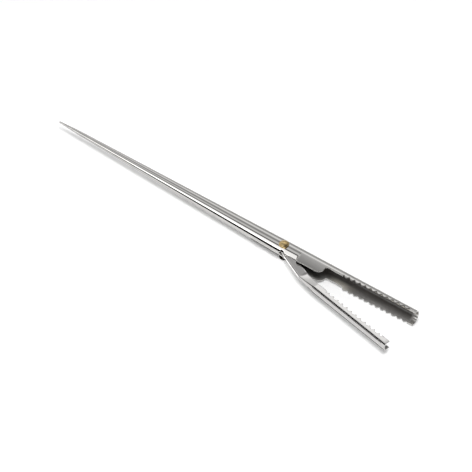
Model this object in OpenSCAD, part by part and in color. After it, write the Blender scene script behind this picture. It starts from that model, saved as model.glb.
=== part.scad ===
// Larding needle: a tapered steel tube whose open end is a toothed half-round jaw,
// with a hinged lever of folded sheet that clamps the strip of fat, on one brass rivet.
// Millimetres. X runs to the jaw's end, the lever opens towards -Y, the rivet stands on Z.
// The origin is on the rivet's axis, in the flat underside that the needle lies on.

/* [Needle] */
// Whole length, from the blunt point to the end of the fixed jaw
overall_l = 200; // [190:1:210]
// Outside diameter of the tube at the rivet
tube_d = 7.3; // [7.2:0.1:7.8]
// Thickness of the steel sheet, body and lever
sheet = 0.6; // [0.5:0.05:0.65]
// Diameter where the ground point starts
point_d = 2.1; // [1.8:0.1:2.4]
// Length of the ground point
point_l = 12.5; // [8:0.5:18]
// Diameter of the round end of the point
tip_d = 0.85; // [0.7:0.05:1.2]

/* [Ears] */
// Reach of the ears from the tube's axis
ear_reach = 5.1; // [4.8:0.1:5.3]
// Lean of each ear towards the middle, in degrees
ear_lean = 11; // [9:0.5:12]
// From the rivet to where the ears leave the round tube
ear_from = 8; // [6:0.5:10]
// From the rivet to the ears' end
ear_l = 22; // [20:0.5:23]
// Radius of the ears' rear corners
ear_corner_r = 3; // [1:0.25:3.5]
// Half height of the slot that lets the lever out
slot_half = 1.1; // [1.05:0.05:1.3]

/* [Jaws] */
// From the rivet to the end of the fixed jaw
jaw_end = 65.4; // [62:0.2:70]
// From the rivet to the first tooth of the fixed jaw
teeth_from = 30.5; // [29:0.5:33]
// Reach of the neck's edges from the tube's axis
neck_reach = 0.9; // [0.5:0.1:1.1]
// Reach of the fixed jaw's first tooth tips from the tube's axis
jaw_reach = 1.5; // [1.2:0.1:1.9]
// Slope of the fixed jaw's edges down to its end, in degrees
jaw_slope = 1.8; // [0:0.1:2.5]
// How far the jaw's mouth is turned up: less on the upper edge, more on the lower one
mouth_turn = 0.5; // [0:0.05:0.7]
// Distance from tooth to tooth, both jaws
tooth_pitch = 2.65; // [2.3:0.05:3]
// Height of the teeth, both jaws
tooth_h = 0.95; // [0.7:0.05:1.1]
// Length of the plain last tooth
last_tooth = 3; // [2:0.25:4]

/* [Lever] */
// Angle between the jaws as modelled, in degrees
rest_open = 11.3; // [6:0.1:16]
// Bend between the lever's tail and its jaw, in degrees
arm_bend = 15; // [13:0.5:16]
// Length of the tail from the rivet to the knee
arm_l = 17.3; // [16:0.1:18.5]
// Gap between the tail's two layers, pressed nearly flat
tail_gap = 0.2; // [0.1:0.05:0.4]
// Half width of the tail
tail_half = 1.9; // [1.85:0.05:1.95]
// Height of the lever's jaw
lever_h = 4.2; // [4:0.1:4.5]
// Radius of the lever's bulging back
lever_web_r = 3.3; // [3:0.1:4]
// Radius of the bends between the lever's back and its cheeks
lever_bend_r = 0.8; // [0.75:0.05:1.1]
// Distance of the lever's back from the rivet's axis
lever_back = 7; // [6.8:0.1:7.3]
// Distance of the lever's tooth tips from the rivet's axis
lever_tips = 3.9; // [3.6:0.1:4.1]
// How much longer the lever is than the fixed jaw
lever_over = 1.8; // [1:0.2:4]

/* [Rivet] */
// Distance of the rivet from the tube's axis, towards the lever
pivot_off = 0.9; // [0.8:0.05:0.95]
// Diameter of the rivet's shank
shank_d = 2.2; // [2:0.1:2.3]
// Running clearance of the lever on the shank, on the radius
fit = 0.05; // [0.02:0.01:0.08]
// Diameter of the domed head
head_d = 4.4; // [4:0.1:4.8]
// Height of the dome
head_h = 0.8; // [0.6:0.05:1.1]
// Height of the clinched end under the tube
clinch_h = 0.5; // [0.4:0.05:0.8]

/* [Hidden] */
$fn = 96;
tube_r = tube_d / 2;
bore_r = tube_r - sheet;
mid_z = tube_r + clinch_h;
collar_from = -3;
slot_from = -0.7;
tail_h = 2 * sheet + tail_gap;
lap = 0.05;
knee_lap = 0.15;
neck_lap = 0.2;
past = 1;
far = 20;

// A flat section (its x across, its y up) drawn out along X
module along_x(from, to)
  translate([from, 0, 0])
    rotate([90, 0, 90])
      linear_extrude(to - from)
        children();

// Round back with two flats that leave it towards -x and close in by ear_lean
module ear_envelope(r, reach)
{
  c = sin(ear_lean);
  s = cos(ear_lean);
  run = (reach - r * c) / s;
  circle(r);
  polygon([
    [-r * c, r * s],
    [-reach, r * s - run * c],
    [-reach, run * c - r * s],
    [-r * c, -r * s]
  ]);
}

// Row of pointed teeth on a straight edge, valleys at the edge and tips tooth_h beyond it,
// ended by a plain tooth
module toothed_edge(from, to, depth)
{
  count = floor((to - last_tooth - from) / tooth_pitch);
  flat_from = from + count * tooth_pitch;
  polygon(concat(
    [[from, -depth]],
    [for (i = [0:count - 1], k = [0, 1])
      [from + (i + k / 2) * tooth_pitch, k * tooth_h]],
    [[flat_from, 0], [flat_from + tooth_h / 3, tooth_h], [to, tooth_h], [to, -depth]]
  ));
}

// Tapered tube, leaning so that its back stays in line with the tube's, with a solid point
module shaft()
{
  shaft_l = overall_l - jaw_end + collar_from;
  root_r = tube_r - lap;
  tip_r = tip_d / 2;
  cone_l = shaft_l - point_l;
  slope = (root_r - point_d / 2) / cone_l;
  hollow_r = root_r - sheet + 2 * lap;
  hollow_end_r = 0.4;
  translate([collar_from, pivot_off, mid_z])
    rotate([0, 0, -atan(slope)])
      rotate([0, -90, 0])
        difference()
        {
          union()
          {
            translate([0, 0, -0.5])
              cylinder(r1 = root_r + slope / 2, r2 = point_d / 2, h = cone_l + 0.5);
            translate([0, 0, cone_l])
              cylinder(r1 = point_d / 2, r2 = tip_r, h = point_l - tip_r);
            translate([0, 0, shaft_l - tip_r])
              sphere(tip_r);
          }
          translate([0, 0, -1])
            cylinder(
              r1 = hollow_r + slope,
              r2 = hollow_end_r,
              h = (hollow_r - hollow_end_r) / slope + 1
            );
        }
}

// Round tube that the rivet goes through, with the slot that lets the lever's tail out
module collar()
{
  difference()
  {
    along_x(collar_from, ear_from)
      translate([pivot_off, mid_z])
        difference()
        {
          circle(tube_r);
          circle(bore_r);
        }
    translate([slot_from + slot_half, pivot_off, mid_z])
      rotate([90, 0, 0])
        linear_extrude(far)
        {
          circle(slot_half);
          translate([0, -slot_half])
            square([far, 2 * slot_half]);
        }
  }
}

// Plan of one ear, the neck and a toothed edge; y is measured from the tube's axis to the lever
module rear_plan(turn)
{
  ear_square = ear_reach - ear_corner_r;
  translate([ear_from, -far])
    square([ear_l - ear_corner_r - ear_from, 2 * far]);
  translate([ear_from, -far])
    square([ear_l - ear_from, far + ear_square]);
  translate([ear_l - ear_corner_r, ear_square])
    circle(ear_corner_r);
  translate([ear_l - past, -far])
    square([teeth_from - ear_l + past, far + neck_reach]);
  translate([teeth_from, jaw_reach + turn - tooth_h])
    rotate(-jaw_slope)
      toothed_edge(0, jaw_end - teeth_from + past, far / 2);
}

module rear()
{
  intersection()
  {
    along_x(ear_from, jaw_end)
      translate([pivot_off, mid_z])
        difference()
        {
          ear_envelope(tube_r, ear_reach);
          ear_envelope(bore_r, ear_reach + past);
        }
    translate([0, pivot_off, 0])
      mirror([0, 1, 0])
      {
        linear_extrude(mid_z)
          rear_plan(mouth_turn);
        translate([0, 0, mid_z])
          linear_extrude(mid_z)
            rear_plan(-mouth_turn);
      }
  }
}

module needle_body()
{
  color([0.68, 0.67, 0.65])
    difference()
    {
      union()
      {
        shaft();
        collar();
        rear();
      }
      cylinder(d = shank_d, h = 2 * mid_z);
    }
}

// Outline of the folded tail, t inside its skin: round fold at -x, open side at reach
module tail_outline(t, reach)
{
  r = tail_h / 2;
  translate([r - tail_half, 0])
    circle(r - t);
  translate([r - tail_half, t - r])
    square([tail_half - r + reach, 2 * (r - t)]);
}

// Outline of the lever's jaw, t inside its skin: a bulging back at -x that runs through two
// bends into flat cheeks, open side at reach
module jaw_outline(t, reach)
{
  between = lever_web_r - lever_bend_r;
  bend_z = lever_h / 2 - lever_bend_r;
  web_x = lever_web_r - lever_back;
  bend_x = web_x - sqrt(between * between - bend_z * bend_z);
  meet_z = bend_z * (lever_web_r - t) / between;
  intersection()
  {
    translate([web_x, 0])
      circle(lever_web_r - t);
    translate([-lever_back, -meet_z])
      square([lever_back + bend_x, 2 * meet_z]);
  }
  for (side = [-1, 1])
    translate([bend_x, side * bend_z])
      circle(lever_bend_r - t);
  translate([bend_x, t - lever_h / 2])
    square([reach - bend_x, lever_h - 2 * t]);
}

// Tail between the ears, rounded about the rivet
module lever_tail()
{
  end_r = tail_half + 0.1;
  rotate([0, 0, -arm_bend])
    intersection()
    {
      along_x(-far, arm_l)
        difference()
        {
          tail_outline(0, far);
          tail_outline(sheet, far + past);
        }
      translate([0, 0, -far])
        linear_extrude(2 * far)
        {
          circle(end_r);
          translate([0, -far])
            square([arm_l + past, far + end_r]);
        }
    }
}

knee_l = 9;
knee_to = arm_l * cos(arm_bend) + knee_l;

// The knee's wall or hollow, t inside the outer skin: the tail's section drawn over into
// the jaw's section, each lapped a little way into its channel
module knee_shape(t, more)
{
  hull()
  {
    rotate([0, 0, -arm_bend])
      along_x(arm_l - knee_lap, arm_l)
        tail_outline(t, tail_half + more, $fn = 32);
    along_x(knee_to, knee_to + knee_lap)
      jaw_outline(t, more - lever_tips - 0.1, $fn = 32);
  }
}

module lever_jaw()
{
  lever_end = jaw_end + lever_over;
  teeth_at = teeth_from + 0.6;
  intersection()
  {
    along_x(knee_to, lever_end)
      difference()
      {
        jaw_outline(0, -lever_tips);
        jaw_outline(sheet, past - lever_tips);
      }
    translate([0, -lever_tips - tooth_h, -far])
      linear_extrude(2 * far)
      {
        translate([knee_to, -far])
          square([teeth_at - knee_to + neck_lap, far + tooth_h + past]);
        toothed_edge(teeth_at, lever_end, far);
      }
  }
}

module clamp_lever()
{
  color([0.7, 0.69, 0.675])
    translate([0, 0, mid_z])
      rotate([0, 0, -rest_open])
        difference()
        {
          union()
          {
            lever_tail();
            difference()
            {
              knee_shape(lap, 0);
              knee_shape(sheet - lap, 2 * past);
            }
            lever_jaw();
          }
          translate([0, 0, -far])
            cylinder(r = shank_d / 2 + fit, h = 2 * far);
        }
}

// Half profile of the two heads, about the rivet's axis: a dome above, a flat clinch below,
// each with a short skirt that beds on the tube
module head_profile()
{
  head_r = head_d / 2;
  clinch_r = head_r - 0.2;
  skirt = 0.6;
  crown = mid_z + tube_r;
  dome_r = (head_r * head_r + head_h * head_h) / (2 * head_h);
  translate([0, crown - skirt])
    square([head_r, skirt + 0.1]);
  intersection()
  {
    translate([0, crown + 0.1 + head_h - dome_r])
      circle(dome_r);
    translate([0, crown])
      square([head_r, 2 * head_h]);
  }
  polygon([
    [0, 0],
    [clinch_r - 0.4, 0],
    [clinch_r, clinch_h * 0.7],
    [clinch_r, clinch_h + skirt],
    [0, clinch_h + skirt]
  ]);
}

module pivot_rivet()
{
  color([0.58, 0.44, 0.23])
  {
    translate([0, 0, clinch_h / 2])
      cylinder(d = shank_d, h = 2 * tube_r + clinch_h / 2);
    difference()
    {
      rotate_extrude()
        head_profile();
      along_x(-far, far)
        translate([pivot_off, mid_z])
          circle(tube_r);
    }
  }
}

needle_body();
clamp_lever();
pivot_rivet();
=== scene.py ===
import math

import bmesh
import bpy
import numpy as np
from bpy.props import FloatProperty, FloatVectorProperty, PointerProperty
from mathutils import Matrix, Vector


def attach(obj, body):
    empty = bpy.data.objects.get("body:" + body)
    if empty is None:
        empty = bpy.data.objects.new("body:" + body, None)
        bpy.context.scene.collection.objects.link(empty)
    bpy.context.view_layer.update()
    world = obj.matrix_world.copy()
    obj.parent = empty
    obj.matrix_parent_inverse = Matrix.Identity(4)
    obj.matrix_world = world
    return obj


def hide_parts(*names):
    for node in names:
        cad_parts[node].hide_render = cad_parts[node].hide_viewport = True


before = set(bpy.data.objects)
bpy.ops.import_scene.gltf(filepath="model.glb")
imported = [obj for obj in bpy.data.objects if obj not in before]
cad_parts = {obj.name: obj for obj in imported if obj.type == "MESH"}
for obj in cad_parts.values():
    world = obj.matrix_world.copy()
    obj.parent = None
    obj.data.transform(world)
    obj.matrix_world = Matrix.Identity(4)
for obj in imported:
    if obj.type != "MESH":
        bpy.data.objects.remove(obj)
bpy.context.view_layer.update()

bl_info = {
    "name": "Larding needle",
    "version": (1, 0, 0),
    "blender": (4, 5, 0),
    "location": "View3D > Sidebar > Needle",
    "description": "Builds a larding needle of formed sheet with a hinged toothed lever",
    "category": "Object",
}

MM = 0.001
RIGHT_ANGLE = math.pi / 2
FULL_TURN = 2 * math.pi
# Turns of a rounded cut edge, and of a rounded end
BEVEL_TURNS = np.radians([30.0, 60.0, 90.0])
END_TURNS = np.radians([0.0, 30.0, 60.0, 90.0])
EDGE_POINTS = 2 * len(BEVEL_TURNS)
# The rounding of an edge is at most the wall divided by this
WALL_BY_EDGE = 2.5
# Stations along each tooth, and the step in front of the first one
PER_TOOTH = 8
FIRST_STEP = 0.05 * MM
# Points that are closer than this, in metres, are one
MERGE = 4e-7


# Sizes and colours that a user would change


def length(name, description, millimetres):
    """A length property, given in millimetres and kept in metres."""
    return FloatProperty(
        name=name, description=description, default=millimetres * MM,
        precision=5, subtype="DISTANCE", unit="LENGTH")


def turn(name, description, degrees):
    """An angle property, given in degrees and kept in radians."""
    return FloatProperty(
        name=name, description=description, default=math.radians(degrees),
        subtype="ANGLE", unit="ROTATION")


def tint(name, description, colour):
    """A colour property without alpha."""
    return FloatVectorProperty(
        name=name, description=description, default=colour,
        subtype="COLOR", size=3, min=0.0, max=1.0)


class NeedleSizes(bpy.types.PropertyGroup):
    """Sizes of the body, formed from one sheet"""

    tube_r: length("Tube radius", "Outside radius of the tube at the rivet", 3.65)
    sheet: length("Sheet", "Thickness of the steel sheet", 0.6)
    edge: length("Edge rounding", "Rounding of the cut edges", 0.14)
    ear_edge: length("Ear edge rounding", "Rounding of the ears' edges", 0.24)
    mid_z: length("Middle height", "Height of the middle plane above the table", 4.15)
    axis_y: length("Axis offset", "Tube's axis behind the rivet", 0.9)
    cone_from: length("Cone start", "Where the shaft starts to taper", -3.0)
    point_from: length("Point start", "Where the ground point starts", -122.07)
    point_r: length("Point root radius", "Radius where the point starts", 1.05)
    tip_x: length("Tip", "Where the needle ends", -134.56)
    tip_r: length("Tip radius", "Radius of the blunt tip", 0.425)
    axis_lean: turn("Axis lean", "Lean of the shaft's axis", 1.2265)
    slot_from: length("Slot start", "Where the lever's slot starts", -0.7)
    slot_half: length("Slot half height", "Half height of the slot", 1.1)
    fold_from: length("Fold start", "Where the flaps beside the slot are fully folded", 2.2)
    fold_lean: turn("Fold lean", "Lean of the folded flaps beside the slot", 46.0)
    flap: length("Flap", "Length of half section of the folded flaps", 10.3)
    unroll_from: length("Unroll start", "Where the folded flaps end", 7.9)
    unroll_to: length("Unroll end", "Where the ears are flat", 9.3)
    ear_lean: turn("Ear lean", "Mean lean of each ear to the middle", 11.0)
    ear_bow: turn("Ear bow", "Turn of each ear from its root to its lip", 6.0)
    ear_reach: length("Ear reach", "Reach of the ears from the axis", 5.1)
    ear_end: length("Ear end", "Where the ears end", 22.0)
    ear_corner: length("Ear corner", "Radius of the ears' rear corners", 3.0)
    neck_fillet: length("Neck fillet", "Fillet between ear and neck", 0.7)
    neck_reach: length("Neck reach", "Reach of the neck's edges", 0.9)
    teeth_from: length("Teeth start", "Where the jaw's teeth start", 30.5)
    jaw_reach: length("Jaw reach", "Reach of the first tooth tips", 1.5)
    jaw_slope: turn("Jaw slope", "Slope of the edges to the end", 1.8)
    mouth_turn: length("Mouth turn", "How far the mouth is turned up", 0.5)
    jaw_end: length("Jaw end", "Where the fixed jaw ends", 65.4)
    pitch: length("Tooth pitch", "Distance from tooth to tooth", 2.65)
    tooth_h: length("Tooth height", "Height of the teeth", 0.95)
    plain_tooth: length("Plain tooth", "Length of the last tooth", 3.0)


class LeverSizes(bpy.types.PropertyGroup):
    """Sizes of the clamp lever, folded from a second sheet"""

    rest_open: turn("Opening", "Angle between the jaws at rest", 11.3)
    arm_bend: turn("Arm bend", "Bend between tail and jaw", 15.0)
    arm_l: length("Arm", "Length of the tail from rivet to knee", 17.3)
    tail_half: length("Tail half width", "Half width of the tail", 1.9)
    tail_end_r: length("Tail end radius", "Round end of the tail", 2.0)
    tail_h: length("Tail height", "Height of the folded tail", 1.4)
    tail_web_r: length("Tail web radius", "Radius of the tail's near side", 0.9)
    tail_bend_r: length("Tail bend radius", "Radius of the tail's bends", 0.5)
    tail_flare: turn("Tail flare", "Flare of the tail's cheeks to the open side", 12.0)
    knee_to: length("Knee end", "Where the knee runs into the jaw", 25.71)
    jaw_h: length("Jaw height", "Height of the lever's jaw", 4.2)
    web_r: length("Jaw web radius", "Radius of the jaw's bulging back", 3.3)
    bend_r: length("Jaw bend radius", "Radius of the jaw's bends", 0.25)
    crease_r: length("Crease radius", "Smallest radius inside the bends", 0.05)
    back: length("Back", "Jaw's back from the rivet's axis", 7.0)
    tips: length("Tips", "Tooth tips from the rivet's axis", 3.9)
    teeth_from: length("Teeth start", "Where the lever's teeth start", 31.1)
    end: length("End", "Where the lever ends", 67.2)
    bore_r: length("Bore radius", "Radius of the hole for the rivet", 1.15)


class RivetSizes(bpy.types.PropertyGroup):
    """Sizes of the brass rivet"""

    shank_r: length("Shank radius", "Radius of the shank", 1.1)
    head_r: length("Head radius", "Radius of the domed head", 2.2)
    head_h: length("Head height", "Height of the dome above the rim", 0.8)
    rim: length("Rim", "Rounding of the head's rim", 0.22)
    clinch_r: length("Clinch radius", "Radius of the clinched end", 2.0)
    clinch_h: length("Clinch height", "Height of the clinched end", 0.5)


class Finishes(bpy.types.PropertyGroup):
    """Colours of the finishes and of the stage"""

    steel: tint("Steel", "Colour of the polished sheet", (0.56, 0.55, 0.535))
    lever: tint("Lever steel", "Colour of the lever's sheet", (0.54, 0.53, 0.52))
    raw: tint("Raw steel", "Colour of the unpolished inner skin", (0.19, 0.185, 0.18))
    # The bare streak colour is a painted reflection: a pale tone laid along the jaw's back and the
    # neck's lower side
    painted_reflection: tint("Painted reflection", "Colour of the reflections painted in the hollow", (0.88, 0.84, 0.74))
    # The grime colour is painted shade: near black, it darkens the inner skin towards the back of
    # the hollow and in the jaw
    hollow_shade: tint("Painted hollow shade", "Colour of the shade painted deep in the hollows", (0.048, 0.041, 0.033))
    brass: tint("Brass", "Colour of the rivet", (0.74, 0.57, 0.30))
    floor: tint("Floor", "Colour of the floor", (0.93, 0.93, 0.93))


# Helpers for surfaces


def ease(t):
    """Smooth step: 3 t^2 - 2 t^3, with t held between 0 and 1."""
    t = np.clip(t, 0.0, 1.0)
    return t * t * (3.0 - 2.0 * t)


def grid_quads(rows, cols, first, ring):
    """Quads of a grid numbered row by row from first; a ring joins the last column to column 0."""
    i, j = np.meshgrid(np.arange(rows - 1), np.arange(cols - (not ring)), indexing="ij")
    k = (j + 1) % cols
    quads = np.stack([i * cols + j, i * cols + k, (i + 1) * cols + k, (i + 1) * cols + j], -1)
    return (quads.reshape(-1, 4) + first).tolist()


def edge_round(base, normal, out, wall, bevel):
    """Cut edge of a sheet: from the outer skin's end a quarter round of radius bevel, straight
    across the wall, and a second quarter round that stops short of the inner skin's end."""
    up = BEVEL_TURNS[None, :, None]
    b, w = bevel[:, None, None], wall[:, None, None]
    n, o, q = normal[:, None], out[:, None], base[:, None]
    first = q + o * b * np.sin(up) - n * b * (1 - np.cos(up))
    down = (BEVEL_TURNS - BEVEL_TURNS[0])[None, :, None]
    second = q + o * b * np.cos(down) - n * (w - b * (1 - np.sin(down)))
    return np.concatenate([first, second], 1)


def sheet_loops(skin, inside, normal, out_first, out_last, wall, bevel):
    """Closed loop of each station: outer skin, rounded edge, inner skin and the second rounded
    edge. Both skins run from the first edge to the last."""
    last = edge_round(skin[:, -1], normal[:, -1], out_last, wall, bevel)
    first = edge_round(skin[:, 0], normal[:, 0], out_first, wall, bevel)[:, ::-1]
    return np.concatenate([skin, last, inside[:, ::-1], first], 1)


def end_cap(cols, first):
    """Faces that close one end of a loop of sheet: a strip from the outer to the inner skin and
    one face over each rounded edge."""
    inner = 2 * cols + EDGE_POINTS - 1
    j = np.arange(cols - 1)
    strip = np.stack([j, j + 1, inner - j - 1, inner - j], -1) + first
    upper = list(range(first + cols - 1, first + cols + EDGE_POINTS + 1))
    lower = list(range(first + inner, first + inner + EDGE_POINTS + 1)) + [first]
    return strip.tolist() + [upper, lower]


def inner_share(rows, cols):
    """Share of inner skin of each point of sheet loops: 1 on the inner skin up to the last row
    before each end, 0 elsewhere."""
    share = np.zeros((rows, 2 * cols + 2 * EDGE_POINTS))
    share[1:-1, cols + EDGE_POINTS:2 * cols + EDGE_POINTS] = 1.0
    return share.ravel()


def put(name, data):
    """New object in the scene."""
    thing = bpy.data.objects.new(name, data)
    bpy.context.scene.collection.objects.link(thing)
    return thing


def make_piece(name, points, faces, inner, material, body, node):
    """Mesh of the points (metres) and faces with doubles merged and faces turned outwards; inner
    marks the skin that no polishing wheel reached. The piece rides on a body and stands for a CAD
    node, which it hides."""
    mesh = bpy.data.meshes.new(name)
    mesh.from_pydata(points.tolist(), [], faces)
    mesh.attributes.new("inner", "FLOAT", "POINT").data.foreach_set("value", inner)
    shape = bmesh.new()
    shape.from_mesh(mesh)
    bmesh.ops.remove_doubles(shape, verts=shape.verts, dist=MERGE)
    bmesh.ops.recalc_face_normals(shape, faces=shape.faces)
    loose = [e for e in shape.edges if len(e.link_faces) != 2]
    shape.to_mesh(mesh)
    shape.free()
    if loose:
        raise RuntimeError(f"{name} isn't closed: {len(loose)} open edges")
    piece = put(name, mesh)
    mesh.materials.append(material)
    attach(piece, body)
    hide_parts(node)
    return piece


def drill(piece, radius, low, high):
    """Round hole on the rivet's axis: a cylinder taken out of the mesh."""
    count = 48
    around = np.linspace(0, FULL_TURN, count + 1)[:-1]
    ring = np.stack([radius * np.cos(around), radius * np.sin(around)], -1)
    points = np.concatenate(
        [np.column_stack([ring, np.full(count, z)]) for z in (low, high)])
    faces = grid_quads(2, count, 0, True)
    faces += [list(range(count))[::-1], list(range(count, 2 * count))]
    mesh = bpy.data.meshes.new("drill")
    mesh.from_pydata(points.tolist(), [], faces)
    cutter = put("drill", mesh)
    hole = piece.modifiers.new("hole", "BOOLEAN")
    hole.operation = "DIFFERENCE"
    hole.solver = "EXACT"
    hole.object = cutter
    bpy.context.view_layer.update()
    drilled = bpy.data.meshes.new_from_object(
        piece.evaluated_get(bpy.context.evaluated_depsgraph_get()))
    piece.modifiers.clear()
    old, piece.data = piece.data, drilled
    drilled.name = piece.name
    bpy.data.meshes.remove(old)
    bpy.data.objects.remove(cutter)
    bpy.data.meshes.remove(mesh)


def shade(piece, degrees):
    """Smooth shading with edges sharper than the angle kept crisp."""
    mesh = piece.data
    mesh.polygons.foreach_set("use_smooth", np.ones(len(mesh.polygons), bool))
    mesh.set_sharp_from_angle(angle=math.radians(degrees))
    mesh.update()


# Finishes

# Middle range of a noise, where most of its values lie
NOISE_LOW, NOISE_HIGH = 0.3, 0.7

# Painted light and shade in the fixed jaw's hollow, as shares by the angle round its axis in
# degrees, where 0 is its back and -90 its lower side: a painted reflection on the neck's lower
# side, then in the jaw lighter raw sheet in bands, painted light on the lower side, and a painted
# highlight streak along the back
PAINTED_SPAN = (-120.0, 60.0)
NECK_PAINTED_REFLECTION = ((-110.0, 0.55), (-72.0, 0.45), (-54.0, 0.0))
JAW_PAINTED_LIGHT = (
    (-95.0, 1.0), (-70.0, 0.62), (-41.0, 0.0), (-34.0, 0.15), (-25.0, 1.0), (-16.0, 0.3),
    (8.0, 0.0))
JAW_PAINTED_STREAK = ((-13.0, 0.0), (-8.0, 1.0), (3.0, 1.0), (7.0, 0.0))


class Graph:
    """Nodes of a material or a world, with the few kinds that are used here"""

    def __init__(self, owner):
        """Start with no nodes at all."""
        owner.use_nodes = True
        self.nodes, self.links = owner.node_tree.nodes, owner.node_tree.links
        self.nodes.clear()

    def feed(self, node, inputs):
        """Set each named or numbered input to a value, or join it to another node's output."""
        for key, value in inputs.items():
            if isinstance(value, bpy.types.NodeSocket):
                self.links.new(value, node.inputs[key])
            else:
                node.inputs[key].default_value = value

    def node(self, kind, inputs):
        """New node of a kind, with its inputs fed."""
        node = self.nodes.new("ShaderNode" + kind)
        self.feed(node, inputs)
        return node

    def math(self, operation, first, second):
        """One operation on two values."""
        node = self.node("Math", {0: first, 1: second})
        node.operation = operation
        return node.outputs["Value"]

    def span(self, source, low, high, to_low=0.0, to_high=1.0):
        """Straight line from to_low at low to to_high at high, level beyond both."""
        node = self.node("MapRange", {
            "Value": source, "From Min": low, "From Max": high,
            "To Min": to_low, "To Max": to_high})
        return node.outputs["Result"]

    def ramp(self, source, stops):
        """Colour that runs straight from stop to stop, each a position and a colour."""
        node = self.node("ValToRGB", {"Fac": source})
        elements = node.color_ramp.elements
        while len(elements) < len(stops):
            elements.new(0.5)
        for element, (position, colour) in zip(elements, stops):
            element.position = position
            element.color = (*colour, 1)
        return node.outputs["Color"]

    def mix(self, factor, first, second, kind="RGBA"):
        """First times (1 - factor) plus second times factor, as colours or as plain values."""
        node = self.nodes.new("ShaderNodeMix")
        node.data_type = kind
        suffix = "_Color" if kind == "RGBA" else "_Float"
        sockets = {socket.identifier: socket for socket in (*node.inputs, *node.outputs)}
        self.links.new(factor, node.inputs[0])
        self.links.new(first, sockets["A" + suffix])
        self.links.new(second, sockets["B" + suffix])
        return sockets["Result" + suffix]

    def place(self, kind="Object"):
        """X, Y and Z of the shaded point, or of the direction into the room."""
        place = self.nodes.new("ShaderNodeTexCoord")
        split = self.node("SeparateXYZ", {"Vector": place.outputs[kind]})
        return tuple(split.outputs)

    def noise(self, scale, detail):
        """Noise on Object coordinates, scaled by its own factor on each axis."""
        place = self.nodes.new("ShaderNodeTexCoord")
        mapping = self.node("Mapping", {"Vector": place.outputs["Object"], "Scale": scale})
        noise = self.node("TexNoise", {
            "Vector": mapping.outputs["Vector"], "Scale": 1.0, "Detail": detail})
        return noise.outputs["Fac"]

    def ranged(self, noise, low, high):
        """Value that runs from low to high over the noise's middle range."""
        return self.span(noise, NOISE_LOW, NOISE_HIGH, low, high)

    def clouded(self, noise, colour, dark, light):
        """Colour that runs from dark to light times itself over the noise's middle range."""
        return self.ramp(noise, [
            (NOISE_LOW, np.multiply(colour, dark)), (NOISE_HIGH, np.multiply(colour, light))])

    def bump(self, height, strength, distance):
        """Normal tilted by the slope of a height."""
        node = self.node("Bump", {"Height": height, "Strength": strength, "Distance": distance})
        return node.outputs["Normal"]


def shaded_material(name):
    """Empty procedural material: its graph and a Principled shader."""
    material = bpy.data.materials.new(name)
    graph = Graph(material)
    shader = graph.node("BsdfPrincipled", {})
    graph.node("OutputMaterial", {"Surface": shader.outputs["BSDF"]})
    return material, graph, shader


def painted_hollow_light(graph, place, inside, tones, s):
    """The inner skin's colour with painted light, shade and reflections in the hollow: a pale
    painted reflection on the neck's lower side, then over the jaw painted shade, lighter raw sheet
    in bands round the axis, painted light on the lower side, and one painted highlight streak along
    the back.
    A tone covers by its share round the axis times a straight rise along X."""
    x, y, z = place
    low, high = PAINTED_SPAN
    angle = graph.math(
        "ARCTAN2", graph.math("SUBTRACT", z, s.mid_z), graph.math("SUBTRACT", y, s.axis_y))
    around = graph.span(angle, math.radians(low), math.radians(high))
    raw, jaw_shade, painted_reflection = tones
    neck, teeth = s.ear_end, s.teeth_from
    colour = inside
    for tone, bands, starts, ends in (
            (painted_reflection, NECK_PAINTED_REFLECTION, neck + MM, neck + 5 * MM),
            (jaw_shade, None, teeth, teeth + 8 * MM),
            (raw, JAW_PAINTED_LIGHT, teeth, teeth + 8 * MM),
            (painted_reflection, JAW_PAINTED_STREAK, teeth, teeth + 14 * MM)):
        cover = graph.span(x, starts, ends)
        if bands:
            stops = [((turned - low) / (high - low), (level,) * 3) for turned, level in bands]
            cover = graph.math("MULTIPLY", cover, graph.ramp(around, stops))
        colour = graph.mix(cover, colour, tone)
    return colour


def polished_steel(name, colour, finishes, jaw=None):
    """Polished sheet: fine lengthwise polishing lines in roughness and bump, cloudy wear; the inner
    skin keeps the raw sheet, dark and dull, with painted shade that turns it near black towards the
    back of the hollow, and painted light, shade and reflections in the fixed jaw."""
    material, graph, shader = shaded_material(name)
    place = graph.place()
    lines = graph.noise(scale=(60, 5200, 5200), detail=3)
    clouds = graph.noise(scale=(180, 420, 420), detail=4)
    marked = graph.nodes.new("ShaderNodeAttribute")
    marked.attribute_name = "inner"
    inner = marked.outputs["Fac"]
    outside = graph.clouded(clouds, colour, dark=0.95, light=1.02)
    rubbed = graph.clouded(clouds, finishes.raw, dark=1.0, light=1.3)
    # Painted shade: the inner skin turns near black towards the back of the hollow, along Y from
    # 0.2 to 3.1 mm
    painted_shade = graph.clouded(clouds, finishes.hollow_shade, dark=0.8, light=1.2)
    shade_depth = graph.span(place[1], low=0.2 * MM, high=3.1 * MM)
    inside = graph.mix(shade_depth, rubbed, painted_shade)
    if jaw:
        # Painted reflection: a pale streak tone, laid along the jaw's back and on the neck's lower
        # side
        streak = graph.clouded(clouds, finishes.painted_reflection, dark=0.9, light=1.0)
        inside = painted_hollow_light(graph, place, inside, (rubbed, painted_shade, streak), jaw)
    polish = graph.math(
        "ADD", graph.ranged(lines, low=0.01, high=0.035),
        graph.ranged(clouds, low=0.01, high=0.035))
    dull = graph.ranged(clouds, low=0.45, high=0.60)
    graph.feed(shader, {
        "Base Color": graph.mix(inner, outside, inside),
        "Metallic": graph.span(inner, 0.0, 1.0, to_low=1.0, to_high=0.1),
        "Roughness": graph.mix(inner, polish, dull, "FLOAT"),
        "Normal": graph.bump(lines, strength=0.05, distance=0.02 * MM)})
    return material


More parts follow.
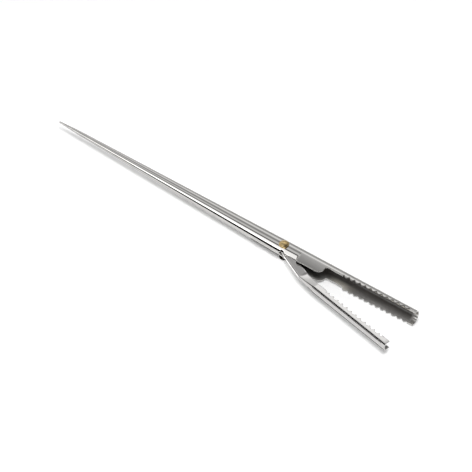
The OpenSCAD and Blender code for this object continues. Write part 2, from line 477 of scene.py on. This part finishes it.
def dulled_brass(name, colour):
    """Brass with a darker tarnish in soft patches and small hammer dimples, and painted shade that
    turns it near black low down, at the clinched end under the tube."""
    material, graph, shader = shaded_material(name)
    patches = graph.noise(scale=(620, 620, 620), detail=4)
    dimples = graph.noise(scale=(900, 900, 900), detail=2)
    bright = graph.clouded(patches, colour, dark=(0.62, 0.55, 0.42), light=1.0)
    # Painted shade: below 1.5 mm the brass turns near black, the clinched end under the tube
    painted_shade = graph.clouded(patches, colour, dark=0.03, light=0.06)
    height = graph.span(graph.place()[2], low=1.5 * MM, high=5.0 * MM)
    graph.feed(shader, {
        "Base Color": graph.mix(height, painted_shade, bright),
        "Metallic": 1.0,
        "Roughness": graph.ranged(patches, low=0.34, high=0.18),
        "Normal": graph.bump(dimples, strength=0.6, distance=0.08 * MM)})
    return material


# The body


def shaft_radius(x, s):
    """Tube, then a straight cone, then the ground point and a round tip."""
    r = np.interp(
        x,
        [s.tip_x + s.tip_r, s.point_from, s.cone_from],
        [s.tip_r, s.point_r, s.tube_r])
    into = np.clip((x - s.tip_x) / s.tip_r, 0, 1)
    return np.where(x < s.tip_x + s.tip_r, s.tip_r * np.sqrt(into * (2 - into)), r)


def shaft_centre(x, s):
    """Height of the shaft's axis in Y: the back stays in line while the shaft tapers."""
    return s.axis_y + np.maximum(s.cone_from - x, 0) * math.tan(s.axis_lean)


def reach_length(p, s):
    """Length of half section, from the back round to a lip that reaches p: on the round back
    first, then along the flat ear."""
    r, lean = s.tube_r, s.ear_lean
    leave = r * math.sin(lean)
    on_round = r * (RIGHT_ANGLE + np.arcsin(np.clip(p / r, -1, 1)))
    on_ear = r * (RIGHT_ANGLE + lean) + (p - leave) / math.cos(lean)
    return np.where(p <= leave, on_round, on_ear)


def lip_stations(s, turned):
    """Stations x of the open part with the lip's length of half section at each: the slot's
    round end, the tube opening out into an ear, its corner, the neck and the teeth."""
    round_points, ear_points, fillet_points, neck_points = 13, 14, 8, 9
    corner_gap, flank, plain_step = 0.01 * MM, 1.4, 1.2 * MM
    quarter = np.linspace(0, RIGHT_ANGLE, round_points)
    slot_lip = s.tube_r * (math.pi - np.arcsin(s.slot_half * np.sin(quarter) / s.tube_r))
    x = [s.slot_from + s.slot_half * (1 - np.cos(quarter))]
    lip = [slot_lip]
    flat = reach_length(s.ear_reach, s)
    for start, stop, before, after, count in (
            (x[0][-1], s.fold_from, slot_lip[-1], s.flap, 10),
            (s.fold_from, s.unroll_from, s.flap, s.flap, 8),
            (s.unroll_from, s.unroll_to, s.flap, flat, 14)):
        part = np.linspace(0, 1, count + 1)[1:]
        x.append(start + (stop - start) * part)
        lip.append(before + (after - before) * ease(part))
    straight = s.ear_end - s.ear_corner
    run = np.linspace(s.unroll_to, straight, ear_points)[1:]
    x.append(run)
    lip.append(np.full(len(run), flat))
    corner = quarter[1:]
    x.append(straight + s.ear_corner * np.sin(corner))
    lip.append(reach_length(s.ear_reach - s.ear_corner * (1 - np.cos(corner)), s))
    fillet = np.linspace(0, RIGHT_ANGLE, fillet_points)
    x.append(s.ear_end + corner_gap + s.neck_fillet * (1 - np.cos(fillet)))
    lip.append(reach_length(s.neck_reach + s.neck_fillet * (1 - np.sin(fillet)), s))
    run = np.linspace(x[-1][-1], s.teeth_from - FIRST_STEP, neck_points)[1:]
    x.append(run)
    lip.append(np.full(len(run), reach_length(s.neck_reach, s)))
    count = math.floor((s.jaw_end + MM - s.plain_tooth - s.teeth_from) / s.pitch)
    share = np.arange(PER_TOOTH * count + 1) / PER_TOOTH
    rise = s.tooth_h * np.clip(flank * (1 - np.abs(2 * (share % 1) - 1)), 0, 1)
    plain = s.teeth_from + count * s.pitch
    tail = np.concatenate([
        [plain + s.tooth_h / 3, plain + plain_step],
        s.jaw_end - s.edge * (1 - np.sin(END_TURNS))])
    x.append(np.concatenate([s.teeth_from + share * s.pitch, tail]))
    rise = np.concatenate([rise, np.full(len(tail), s.tooth_h)])
    valley = s.jaw_reach + turned - s.tooth_h
    drop = (x[-1] - s.teeth_from) * math.tan(s.jaw_slope)
    lip.append(reach_length(valley + rise - drop, s))
    return np.concatenate(x), np.concatenate(lip)


def flap_lean(x, s):
    """Angle at which the flap leaves the round back at each station: a right angle where the
    slot starts, so that the tube is closed there, then the folded flap, then the ear. Also how
    much the flap turns for its length: the ears are a little bowed."""
    shut = ease((x - s.slot_from) / (s.fold_from - s.slot_from))
    opened = ease((x - s.unroll_from) / (s.unroll_to - s.unroll_from))
    root = s.ear_lean - s.ear_bow / 2
    lean = RIGHT_ANGLE + (s.fold_lean - RIGHT_ANGLE) * shut + (root - s.fold_lean) * opened
    span = reach_length(s.ear_reach, s) - s.tube_r * (RIGHT_ANGLE + root)
    return lean, opened * s.ear_bow / span


def half_section(lip, lean, bow, s, share):
    """Half of the section at each station, back to lip: an arc of the tube's radius until the
    normal has turned to lean, then a flap that goes on turning by bow for its length. The points
    of the first part, share below 1, stay where they are at all stations. Returns points (reach,
    height), normals and the direction past the lip."""
    r, lean, bow = s.tube_r, lean[:, None], bow[:, None]
    short_of_side = math.radians(12)
    leave = r * (RIGHT_ANGLE + lean)
    fixed = r * (RIGHT_ANGLE - short_of_side)
    trunk = np.minimum(share, 1) * fixed
    zone = np.clip(share - 1, 0, 1)
    along = trunk[None] + zone[None] * (lip[:, None] - fixed)
    past = np.maximum(along - leave, 0)
    angle = np.minimum(along / r - RIGHT_ANGLE, lean)
    half_turn = past * bow / 2
    chord = past * np.sinc(half_turn / math.pi)
    reach = r * np.sin(angle) + chord * np.cos(lean + half_turn)
    height = r * np.cos(angle) - chord * np.sin(lean + half_turn)
    angle = angle + 2 * half_turn
    points = np.stack([reach, height], -1)
    normals = np.stack([np.sin(angle), np.cos(angle)], -1)
    ahead = np.stack([np.cos(angle[:, -1]), -np.sin(angle[:, -1])], -1)
    return points, normals, ahead


def body_surface(s):
    """Body as a rolled sheet: loops of sheet along the open part, closed rings of outer and
    inner skin along the shaft, joined at the slot's start. Also returns the share of raw inner
    skin, which is polished bright near the mouth's end."""
    fixed_points, lip_points = 30, 18
    opening, tooth_raw, solid_point = 0.25 * MM, 0.8, 8 * MM
    bright_from, bright_for = 3.2 * MM, 2.6 * MM
    tip_points, point_points, cone_points, tube_points = 9, 6, 40, 5
    share = np.concatenate([
        np.linspace(0, 1, fixed_points), 1 + np.linspace(0, 1, lip_points + 1)[1:]])
    x, lip_up = lip_stations(s, -s.mouth_turn)
    lip_low = lip_stations(s, s.mouth_turn)[1]
    open_by = np.clip((x - s.slot_from) / opening, 0, 1)
    eared = ease((x - s.unroll_from) / MM) * (1 - ease((x - s.ear_end) / MM))
    bevel = (s.edge + (s.ear_edge - s.edge) * eared) * open_by
    in_by = s.edge - np.sqrt(np.maximum(
        s.edge ** 2 - np.maximum(x - s.jaw_end + s.edge, 0) ** 2, 0))
    lean, bow = flap_lean(x, s)
    mirror = np.array([1.0, -1.0])
    up, up_n, up_out = half_section(lip_up - bevel - in_by, lean, bow, s, share)
    low, low_n, low_out = half_section(lip_low - bevel - in_by, lean, bow, s, share)
    skin = np.concatenate([(low * mirror)[:, :0:-1], up], 1)
    normal = np.concatenate([(low_n * mirror)[:, :0:-1], up_n], 1)
    skin = skin - normal * in_by[:, None, None]
    wall = s.sheet - 2 * in_by
    bevel = np.minimum(bevel, wall / WALL_BY_EDGE)
    inside = skin - normal * wall[:, None, None]
    loops = sheet_loops(skin, inside, normal, low_out * mirror, up_out, wall, bevel)
    rows, cols = loops.shape[:2]
    across = np.broadcast_to(x[:, None], (rows, cols))
    points = [np.stack([across, s.axis_y - loops[..., 0], s.mid_z + loops[..., 1]], -1)]
    worn = 1 - ease((x - s.jaw_end + bright_from) / bright_for)
    toothed = ((x > s.teeth_from) & (x < s.jaw_end - s.plain_tooth)).astype(float)
    wide = skin.shape[1]
    raw = inner_share(rows, wide).reshape(rows, cols) * worn[:, None]
    for edge in (slice(wide, wide + EDGE_POINTS), slice(-EDGE_POINTS, None)):
        raw[:, edge] = tooth_raw * toothed[:, None]
    inner = [raw.ravel()]
    faces = grid_quads(rows, cols, 0, True)
    faces += end_cap(wide, (rows - 1) * cols)
    round_trip = normal[0]
    near_tip = s.tip_x + s.tip_r * (1 - np.cos(np.linspace(0, RIGHT_ANGLE, tip_points)))
    outer_x = np.concatenate([
        near_tip,
        np.linspace(near_tip[-1], s.point_from, point_points)[1:],
        np.linspace(s.point_from, s.cone_from, cone_points)[1:],
        np.linspace(s.cone_from, s.slot_from, tube_points)[1:]])
    inner_x = outer_x[outer_x > s.point_from + solid_point]
    outer_r = shaft_radius(outer_x, s)
    inner_r = np.maximum(shaft_radius(inner_x, s) - s.sheet, 0) * (
        np.arange(len(inner_x)) > 0)
    for ring_x, ring_r, mark in ((outer_x, outer_r, 0.0), (inner_x, inner_r, 1.0)):
        first = sum(len(p.reshape(-1, 3)) for p in points)
        ring = round_trip[None] * ring_r[:, None, None]
        shape = ring.shape[:2]
        points.append(np.stack([
            np.broadcast_to(ring_x[:, None], shape),
            shaft_centre(ring_x, s)[:, None] - ring[..., 0],
            s.mid_z + ring[..., 1]], -1))
        inner.append(np.full(shape[0] * shape[1], mark))
        faces += grid_quads(*shape, first, False)
    return np.concatenate([p.reshape(-1, 3) for p in points]), faces, np.concatenate(inner)


class NEEDLE_OT_body(bpy.types.Operator):
    """Build the tapered tube with its ears and toothed jaw"""

    bl_idname = "needle.body"
    bl_label = "Needle body"

    def execute(self, context):
        s = context.scene.needle_sizes
        finishes = context.scene.needle_finishes
        finish = polished_steel("polished_needle_steel", finishes.steel, finishes, jaw=s)
        points, faces, inner = body_surface(s)
        piece = make_piece(
            "needle_of_formed_sheet", points, faces, inner, finish,
            "needle", "needle_body")
        drill(piece, context.scene.rivet_sizes.shank_r, -MM, 2 * s.mid_z + MM)
        shade(piece, degrees=40)
        return {"FINISHED"}


# The lever


def turned_plan(points, angle):
    """Plan points turned about the rivet's axis."""
    c, s = math.cos(angle), math.sin(angle)
    return points @ np.array([[c, s], [-s, c]])


def lever_stations(s, edge, pitch, tooth_h, plain_tooth):
    """Near and far edge of the lever in plan at each station, with the section's height, back
    radius, bend radius and the flare of its cheeks: round end, tail, knee and toothed jaw. The
    mean of three stations softens the tail, the knee and the neck."""
    end_points, tail_points, knee_points, neck_points = 9, 60, 31, 16
    blunt, flank, plain_step, half_flare = math.radians(18), 1.5, 1.5 * MM, 0.5
    soft_points, kept_points = 3, 4
    end = -s.tail_end_r * np.cos(np.linspace(blunt, RIGHT_ANGLE, end_points))
    tail_x = np.concatenate([end, np.linspace(0, s.arm_l, tail_points)[1:]])
    round_end = np.sqrt(np.maximum(s.tail_end_r ** 2 - np.minimum(tail_x, 0) ** 2, 0))
    tail_near = turned_plan(
        np.stack([tail_x, -np.minimum(s.tail_half, round_end)], -1), -s.arm_bend)
    tail_far = turned_plan(np.stack([tail_x, round_end], -1), -s.arm_bend)
    step = np.linspace(0, 1, knee_points)[1:, None]
    knee_near = tail_near[-1] + (np.array([s.knee_to, -s.back]) - tail_near[-1]) * step
    knee_far = tail_far[-1] + (np.array([s.knee_to, -s.tips]) - tail_far[-1]) * step
    neck_x = np.linspace(s.knee_to, s.teeth_from - FIRST_STEP, neck_points)[1:]
    count = math.floor((s.end - plain_tooth - s.teeth_from) / pitch)
    share = np.arange(PER_TOOTH * count + 1) / PER_TOOTH
    plain = s.teeth_from + count * pitch
    last = np.concatenate([
        [plain + tooth_h / 3, plain + plain_step],
        s.end - edge * (1 - np.sin(END_TURNS))])
    jaw_x = np.concatenate([s.teeth_from + share * pitch, last])
    fall = np.concatenate([
        tooth_h * np.clip(flank * np.abs(2 * (share % 1) - 1), 0, 1), np.zeros(len(last))])
    neck_near = np.stack([neck_x, np.full(len(neck_x), -s.back)], -1)
    neck_far = np.stack([neck_x, np.full(len(neck_x), -s.tips)], -1)
    jaw_near = np.stack([jaw_x, np.full(len(jaw_x), -s.back)], -1)
    jaw_far = np.stack([jaw_x, -s.tips - fall], -1)
    plain_part = len(tail_x) + len(knee_near) + len(neck_x)
    blend = np.concatenate([
        np.zeros(len(tail_x)), step[:, 0], np.ones(len(neck_x) + len(jaw_x))])
    height = s.tail_h + (s.jaw_h - s.tail_h) * blend
    web_r = s.tail_web_r + (s.web_r - s.tail_web_r) * blend
    bend_r = s.tail_bend_r + (s.bend_r - s.tail_bend_r) * blend
    near = np.concatenate([tail_near, knee_near, neck_near, jaw_near])
    far = np.concatenate([tail_far, knee_far, neck_far, jaw_far])
    flare = math.tan(s.tail_flare) * (1 - blend) * np.where(blend > 0, half_flare, 1.0)
    soft = np.column_stack([near, far, height, web_r, bend_r, flare])
    kernel = np.ones(soft_points) / soft_points
    held = slice(len(end) + kept_points, plain_part - kept_points)
    smooth = np.stack([np.convolve(c, kernel, "same") for c in soft.T], -1)
    soft[held] = smooth[held]
    return soft[:, 0:2], soft[:, 2:4], *soft[:, 4:].T


def lever_section(width, height, web_r, bend_r, flare):
    """Section of the lever from its upper far edge round the near side to its lower far edge:
    flat cheek, bend, bulging back, bend, flat cheek, the cheeks flared by a slope. Points (from
    the near side, up), normals."""
    between = web_r - bend_r
    bend_z = height / 2 - bend_r
    meet = np.arcsin(bend_z / between)
    bend_a = web_r - np.sqrt(between ** 2 - bend_z ** 2)
    part_points = 9
    part = np.linspace(0, 1, part_points)
    cheek_a = width[:, None] + (bend_a - width)[:, None] * part[:-1]
    cheek_b = (height / 2)[:, None] + flare[:, None] * (cheek_a - bend_a[:, None])
    bend_t = RIGHT_ANGLE + (meet - RIGHT_ANGLE)[:, None] * part[:-1]
    web_t = meet[:, None] * part[:0:-1]
    upper_a = np.concatenate([
        cheek_a,
        bend_a[:, None] - bend_r[:, None] * np.cos(bend_t),
        web_r[:, None] * (1 - np.cos(web_t))], 1)
    upper_b = np.concatenate([
        cheek_b,
        bend_z[:, None] + bend_r[:, None] * np.sin(bend_t),
        web_r[:, None] * np.sin(web_t)], 1)
    angle = np.concatenate([np.full_like(cheek_a, RIGHT_ANGLE), bend_t, web_t], 1)
    middle = np.zeros((len(width), 1))
    a = np.concatenate([upper_a, middle, upper_a[:, ::-1]], 1)
    b = np.concatenate([upper_b, middle, -upper_b[:, ::-1]], 1)
    angle = np.concatenate([angle, middle, -angle[:, ::-1]], 1)
    points = np.stack([a, b], -1)
    normals = np.stack([-np.cos(angle), np.sin(angle)], -1)
    return points, normals


def lever_surface(s, body):
    """Lever as loops of folded sheet carried along its bent path, then turned to its opening."""
    near, far, height, web_r, bend_r, flare = lever_stations(
        s, body.edge, body.pitch, body.tooth_h, body.plain_tooth)
    span = far - near
    width = np.linalg.norm(span, axis=1)
    across = span / width[:, None]
    edge = body.edge
    x = near[:, 0]
    in_by = edge - np.sqrt(np.maximum(edge ** 2 - np.maximum(x - s.end + edge, 0) ** 2, 0))
    bevel = np.full(len(width), edge)
    skin, normal = lever_section(width - bevel - in_by, height, web_r, bend_r, flare)
    skin = skin - normal * in_by[:, None, None]
    wall = body.sheet - 2 * in_by
    deep = body.sheet - in_by
    inside = lever_section(
        width - bevel - in_by - deep, height - 2 * deep, web_r - deep,
        np.maximum(bend_r - deep, s.crease_r), flare)[0]
    inside[..., 0] += deep[:, None]
    bevel = np.minimum(bevel, wall / WALL_BY_EDGE)
    out = np.tile(np.array([1.0, 0.0]), (len(width), 1))
    loops = sheet_loops(skin, inside, normal, out, out, wall, bevel)
    rows, cols = loops.shape[:2]
    plan = near[:, None] + across[:, None] * loops[..., 0:1]
    plan = turned_plan(plan.reshape(-1, 2), -s.rest_open)
    points = np.column_stack([plan, body.mid_z + loops[..., 1].ravel()])
    faces = grid_quads(rows, cols, 0, True)
    faces += end_cap(skin.shape[1], 0) + end_cap(skin.shape[1], (rows - 1) * cols)
    return points, faces, inner_share(rows, skin.shape[1])


class NEEDLE_OT_lever(bpy.types.Operator):
    """Build the hinged lever with its toothed jaw"""

    bl_idname = "needle.lever"
    bl_label = "Clamp lever"

    def execute(self, context):
        s, body = context.scene.lever_sizes, context.scene.needle_sizes
        finishes = context.scene.needle_finishes
        finish = polished_steel("polished_lever_steel", finishes.lever, finishes)
        points, faces, inner = lever_surface(s, body)
        piece = make_piece(
            "clamp_lever_of_folded_sheet", points, faces, inner, finish,
            "lever", "clamp_lever")
        drill(piece, s.bore_r, -MM, 2 * body.mid_z + MM)
        shade(piece, degrees=40)
        return {"FINISHED"}


# The rivet


def rivet_surface(s, body):
    """Rivet as rings about its axis: dome with a rounded rim, short skirts that bed on the tube
    (their inner rings follow the tube's round), shank and clinched end."""
    clear, skirt, seat = 0.01 * MM, 0.45 * MM, 0.1 * MM
    around_points, dome_points = 64, 12
    around = np.linspace(0, FULL_TURN, around_points + 1)[:-1]
    crown = body.mid_z + body.tube_r

    def bed(radius):
        """Half height of the tube under each point of a ring, by its round."""
        off = radius * np.sin(around) - body.axis_y
        return np.sqrt(body.tube_r ** 2 - off ** 2)

    top = crown + seat
    dome_r = (s.head_r ** 2 + s.head_h ** 2) / (2 * s.head_h)
    sweep = np.linspace(0, 1, dome_points) * math.asin((s.head_r - s.rim) / dome_r)
    dome = np.stack([dome_r * np.sin(sweep), top + s.head_h - dome_r * (1 - np.cos(sweep))], -1)
    rim_turns = np.radians([25, 45, 65, 90])
    low_rim = dome[-1, 1] - s.rim
    rim = np.stack([
        s.head_r - s.rim * (1 - np.sin(rim_turns)), low_rim + s.rim * np.cos(rim_turns)], -1)
    rows = [np.column_stack([np.full_like(around, r), np.full_like(around, z)])
            for r, z in np.concatenate([dome, rim])]
    for r in (s.head_r, s.shank_r):
        rows.append(np.column_stack([
            np.full_like(around, r),
            np.maximum(body.mid_z + bed(r) + clear, crown - skirt)]))
    for r in (s.shank_r, s.clinch_r):
        rows.append(np.column_stack([
            np.full_like(around, r),
            np.minimum(body.mid_z - bed(r) - clear, s.clinch_h + skirt)]))
    inwards, upwards = np.array([[0, 0.34], [0.08, 0.16], [0.24, 0.04], [0.45, 0]]).T * MM
    foot = np.append(np.column_stack([s.clinch_r - inwards, upwards]), [[0, 0]], 0)
    rows += [np.column_stack([np.full_like(around, r), np.full_like(around, z)])
             for r, z in foot]
    grid = np.stack(rows)
    points = np.stack([
        grid[..., 0] * np.cos(around), grid[..., 0] * np.sin(around), grid[..., 1]], -1)
    return points.reshape(-1, 3), grid_quads(len(rows), len(around), 0, True)


class NEEDLE_OT_rivet(bpy.types.Operator):
    """Build the brass rivet that the lever turns on"""

    bl_idname = "needle.rivet"
    bl_label = "Pivot rivet"

    def execute(self, context):
        finish = dulled_brass("dulled_rivet_brass", context.scene.needle_finishes.brass)
        points, faces = rivet_surface(context.scene.rivet_sizes, context.scene.needle_sizes)
        piece = make_piece(
            "domed_brass_rivet", points, faces, np.zeros(len(points)), finish,
            "needle", "pivot_rivet")
        shade(piece, degrees=45)
        return {"FINISHED"}


# The stage

# Brightness of the room round the needle, by the angle over the needle's length in degrees:
# 0 is level on the lever's side, 90 is straight up, 180 is level behind
ROOM_BANDS = (
    (0.0, 0.005), (22.0, 0.005), (23.5, 1.6), (43.0, 1.6), (45.0, 0.5), (47.0, 0.12),
    (56.0, 0.14), (60.0, 0.56), (66.0, 0.92), (79.0, 0.88), (88.0, 0.58), (95.0, 0.34),
    (104.0, 0.40), (112.0, 0.61), (119.0, 0.90), (124.0, 1.00), (126.0, 1.42), (132.0, 1.42),
    (134.0, 1.00), (140.0, 0.88), (150.0, 0.70), (165.0, 0.40), (180.0, 0.20))
ROOM_PEAK = 1.6
# Share of the brightness that is left beyond the jaws' end
ROOM_DIM = 0.2
# Half the floor's side in metres, and its own light
FLOOR_HALF, FLOOR_GLOW = 2.5, 0.14
# Brightness of the strips of the studio cards
BLACK, WHITE = 0.0, 3.0


def room_light(scene):
    """World whose brightness changes with the angle round the needle's length, as between long
    soft boxes, and dims beyond the jaws' end."""
    scene.world = bpy.data.worlds.new("studio_room")
    graph = Graph(scene.world)
    x, y, z = graph.place("Generated")
    angle = graph.math("ARCTAN2", z, graph.math("MULTIPLY", y, -1.0))
    room = graph.node("Background", {
        "Color": graph.ramp(graph.math("DIVIDE", angle, math.pi), [
            (degrees / 180.0, (level / ROOM_PEAK,) * 3) for degrees, level in ROOM_BANDS]),
        "Strength": graph.span(
            x, low=-0.1, high=0.3, to_low=ROOM_PEAK, to_high=ROOM_DIM * ROOM_PEAK)})
    graph.node("OutputWorld", {"Surface": room.outputs["Background"]})


def white_floor(colour):
    """Pale floor: diffuse, with a little of its own light for camera, mirror and glass rays, so
    that it shows white and keeps the needle's shadow."""
    corners = [(x * FLOOR_HALF, y * FLOOR_HALF, 0) for x, y in ((-1, -1), (1, -1), (1, 1), (-1, 1))]
    mesh = bpy.data.meshes.new("floor")
    mesh.from_pydata(corners, [], [(0, 1, 2, 3)])
    floor = put("floor", mesh)
    material = bpy.data.materials.new("pale_floor")
    graph = Graph(material)
    rays = graph.nodes.new("ShaderNodeLightPath").outputs
    seen = rays["Is Camera Ray"]
    for kind in ("Is Glossy Ray", "Is Transmission Ray"):
        seen = graph.math("MAXIMUM", seen, rays[kind])
    matt = graph.node("BsdfDiffuse", {"Color": (*colour, 1)})
    glow = graph.node("Emission", {"Strength": graph.math("MULTIPLY", seen, FLOOR_GLOW)})
    both = graph.node("AddShader", {0: matt.outputs["BSDF"], 1: glow.outputs["Emission"]})
    graph.node("OutputMaterial", {"Surface": both.outputs["Shader"]})
    mesh.materials.append(material)


def line_card(name, plans, heights, strengths):
    """Card of two strips between three lines, each a plan (metres) lifted to a height (mm), as a
    studio uses to draw dark and white lines along polished steel. Mirror rays alone see it."""
    lines = [
        np.column_stack([plan, np.full(len(plan), height * MM)])
        for plan, height in zip(plans, heights)]
    mesh = bpy.data.meshes.new(name)
    mesh.from_pydata(
        np.concatenate(lines).tolist(), [], grid_quads(len(lines), len(lines[0]), 0, False))
    for half, strength in zip(("first", "second"), strengths):
        material = bpy.data.materials.new(name + "_" + half)
        graph = Graph(material)
        glow = graph.node("Emission", {"Strength": strength})
        graph.node("OutputMaterial", {"Surface": glow.outputs["Emission"]})
        mesh.materials.append(material)
    parts = len(lines[0]) - 1
    mesh.polygons.foreach_set("material_index", np.repeat(np.arange(len(lines) - 1), parts))
    card = put(name, mesh)
    card.visible_camera = False
    card.visible_diffuse = False
    card.visible_shadow = False
    card.visible_transmission = False


def line_cards(body, lever):
    """Upright cards beside the shaft, the lever's tail and its jaw, and flat black ones under the
    jaw's back and the tube, which are painted shadow: mirror rays see them as the dark shade under
    the lever and the tube. The camera's mirror rays run towards the point, so each card lies that
    much back."""
    def beside(y, starts, ends, bend):
        """Line along the lever, y from the rivet's axis, from start to end, all in mm."""
        return turned_plan(
            np.array([[starts, y], [ends, y]]) * MM, -lever.rest_open - bend)

    away, shaft_x = 9.0 * MM, np.array([-145.0, 2.0]) * MM
    shaft = np.column_stack([shaft_x, shaft_centre(shaft_x, body) - away])
    tail = beside(-4.3, 1.0, 15.0, lever.arm_bend)
    jaw = beside(-30.0, 6.0, 56.0, 0.0)
    # Painted shadow: black strips under the jaw's back, seen in mirror rays as its shade
    under = [beside(y, 20.0, 66.0, 0.0) for y in (-7.2, -6.0, -4.8)]
    # Painted shadow: black strips under the tube's near side, seen in mirror rays as its shade
    tube_x = np.array([-18.0, -3.0, 2.0]) * MM
    middle, r = shaft_centre(tube_x, body), shaft_radius(tube_x, body)
    keel = [np.column_stack([tube_x, middle - share * r]) for share in (1.0, 0.7, 0.4)]
    for name, plans, heights, strengths in (
            ("shaft_card", [shaft] * 3, (2.4, 6.3, 9.3), (BLACK, WHITE)),
            ("tail_card", [tail] * 3, (0.2, 4.3, 7.0), (WHITE, BLACK)),
            ("jaw_card", [jaw] * 3, (0.1, 2.0, 4.2), (BLACK, BLACK)),
            ("painted_shadow_under_jaw", under, (0.15, 0.15, 0.15), (BLACK, BLACK)),
            ("painted_shadow_under_tube", keel, (0.1, 0.1, 0.1), (BLACK, BLACK))):
        line_card(name, plans, heights, strengths)


def key_lamp():
    """Soft lamp above, a little to the front and right, which lays the shadow close under the
    needle. The polished steel mirrors the room and the cards alone."""
    data = bpy.data.lights.new("key_lamp", "AREA")
    data.shape = "RECTANGLE"
    data.size, data.size_y = 0.34, 0.34
    data.energy = 3.0
    lamp = put("key_lamp", data)
    lamp.location = (0.10, -0.08, 0.64)
    lamp.visible_glossy = False
    lamp.rotation_mode = "QUATERNION"
    lamp.rotation_quaternion = Vector(lamp.location).to_track_quat("Z", "Y")


def camera():
    """Camera at the photograph's viewing angle: turned by azimuth and elevation round its target,
    and moved back from there."""
    data = bpy.data.cameras.new("camera")
    data.sensor_width = 36.0
    data.lens = 106.24
    data.clip_start, data.clip_end = 0.01, 10.0
    cam = put("camera", data)
    azimuth, elevation, distance = math.radians(38.13), math.radians(44.0), 0.6
    target = Vector((-21.41, -5.80, 4.15)) * MM
    right = Vector((math.cos(azimuth), math.sin(azimuth), 0))
    back = Vector((
        math.sin(azimuth) * math.cos(elevation),
        -math.cos(azimuth) * math.cos(elevation),
        math.sin(elevation)))
    up = back.cross(right)
    turned = Matrix((right, up, back)).transposed().to_4x4()
    cam.matrix_world = Matrix.Translation(target + back * distance) @ turned
    bpy.context.scene.camera = cam


class NEEDLE_OT_stage(bpy.types.Operator):
    """Set the floor, the room, the cards, the lamp and the camera"""

    bl_idname = "needle.stage"
    bl_label = "Stage"

    def execute(self, context):
        scene = context.scene
        scene.view_settings.view_transform = "Standard"
        white_floor(scene.needle_finishes.floor)
        room_light(scene)
        line_cards(scene.needle_sizes, scene.lever_sizes)
        key_lamp()
        camera()
        return {"FINISHED"}


# The add-on


class NEEDLE_PT_panel(bpy.types.Panel):
    """Lists the pieces of the needle and its sizes"""

    bl_idname = "NEEDLE_PT_panel"
    bl_label = "Larding needle"
    bl_space_type = "VIEW_3D"
    bl_region_type = "UI"
    bl_category = "Needle"

    def draw(self, context):
        """One button for each operator, then one column for each group of sizes."""
        for operator in OPERATORS:
            self.layout.operator(operator.bl_idname)
        for name in GROUPS:
            group = getattr(context.scene, name)
            column = self.layout.column(align=True)
            for key in group.__annotations__:
                column.prop(group, key)


OPERATORS = (NEEDLE_OT_stage, NEEDLE_OT_body, NEEDLE_OT_lever, NEEDLE_OT_rivet)
GROUPS = {
    "needle_sizes": NeedleSizes,
    "lever_sizes": LeverSizes,
    "rivet_sizes": RivetSizes,
    "needle_finishes": Finishes,
}


def register():
    """Register the classes and hang the groups of sizes on the scene."""
    for cls in (*GROUPS.values(), *OPERATORS, NEEDLE_PT_panel):
        bpy.utils.register_class(cls)
    for name, group in GROUPS.items():
        setattr(bpy.types.Scene, name, PointerProperty(type=group))


def unregister():
    """Undo register, last things first."""
    for name in GROUPS:
        delattr(bpy.types.Scene, name)
    for cls in (NEEDLE_PT_panel, *OPERATORS[::-1], *tuple(GROUPS.values())[::-1]):
        bpy.utils.unregister_class(cls)


def main():
    """Build the stage and the pieces."""
    register()
    bpy.ops.needle.stage()
    bpy.ops.needle.body()
    bpy.ops.needle.lever()
    bpy.ops.needle.rivet()


if __name__ == "__main__":
    main()
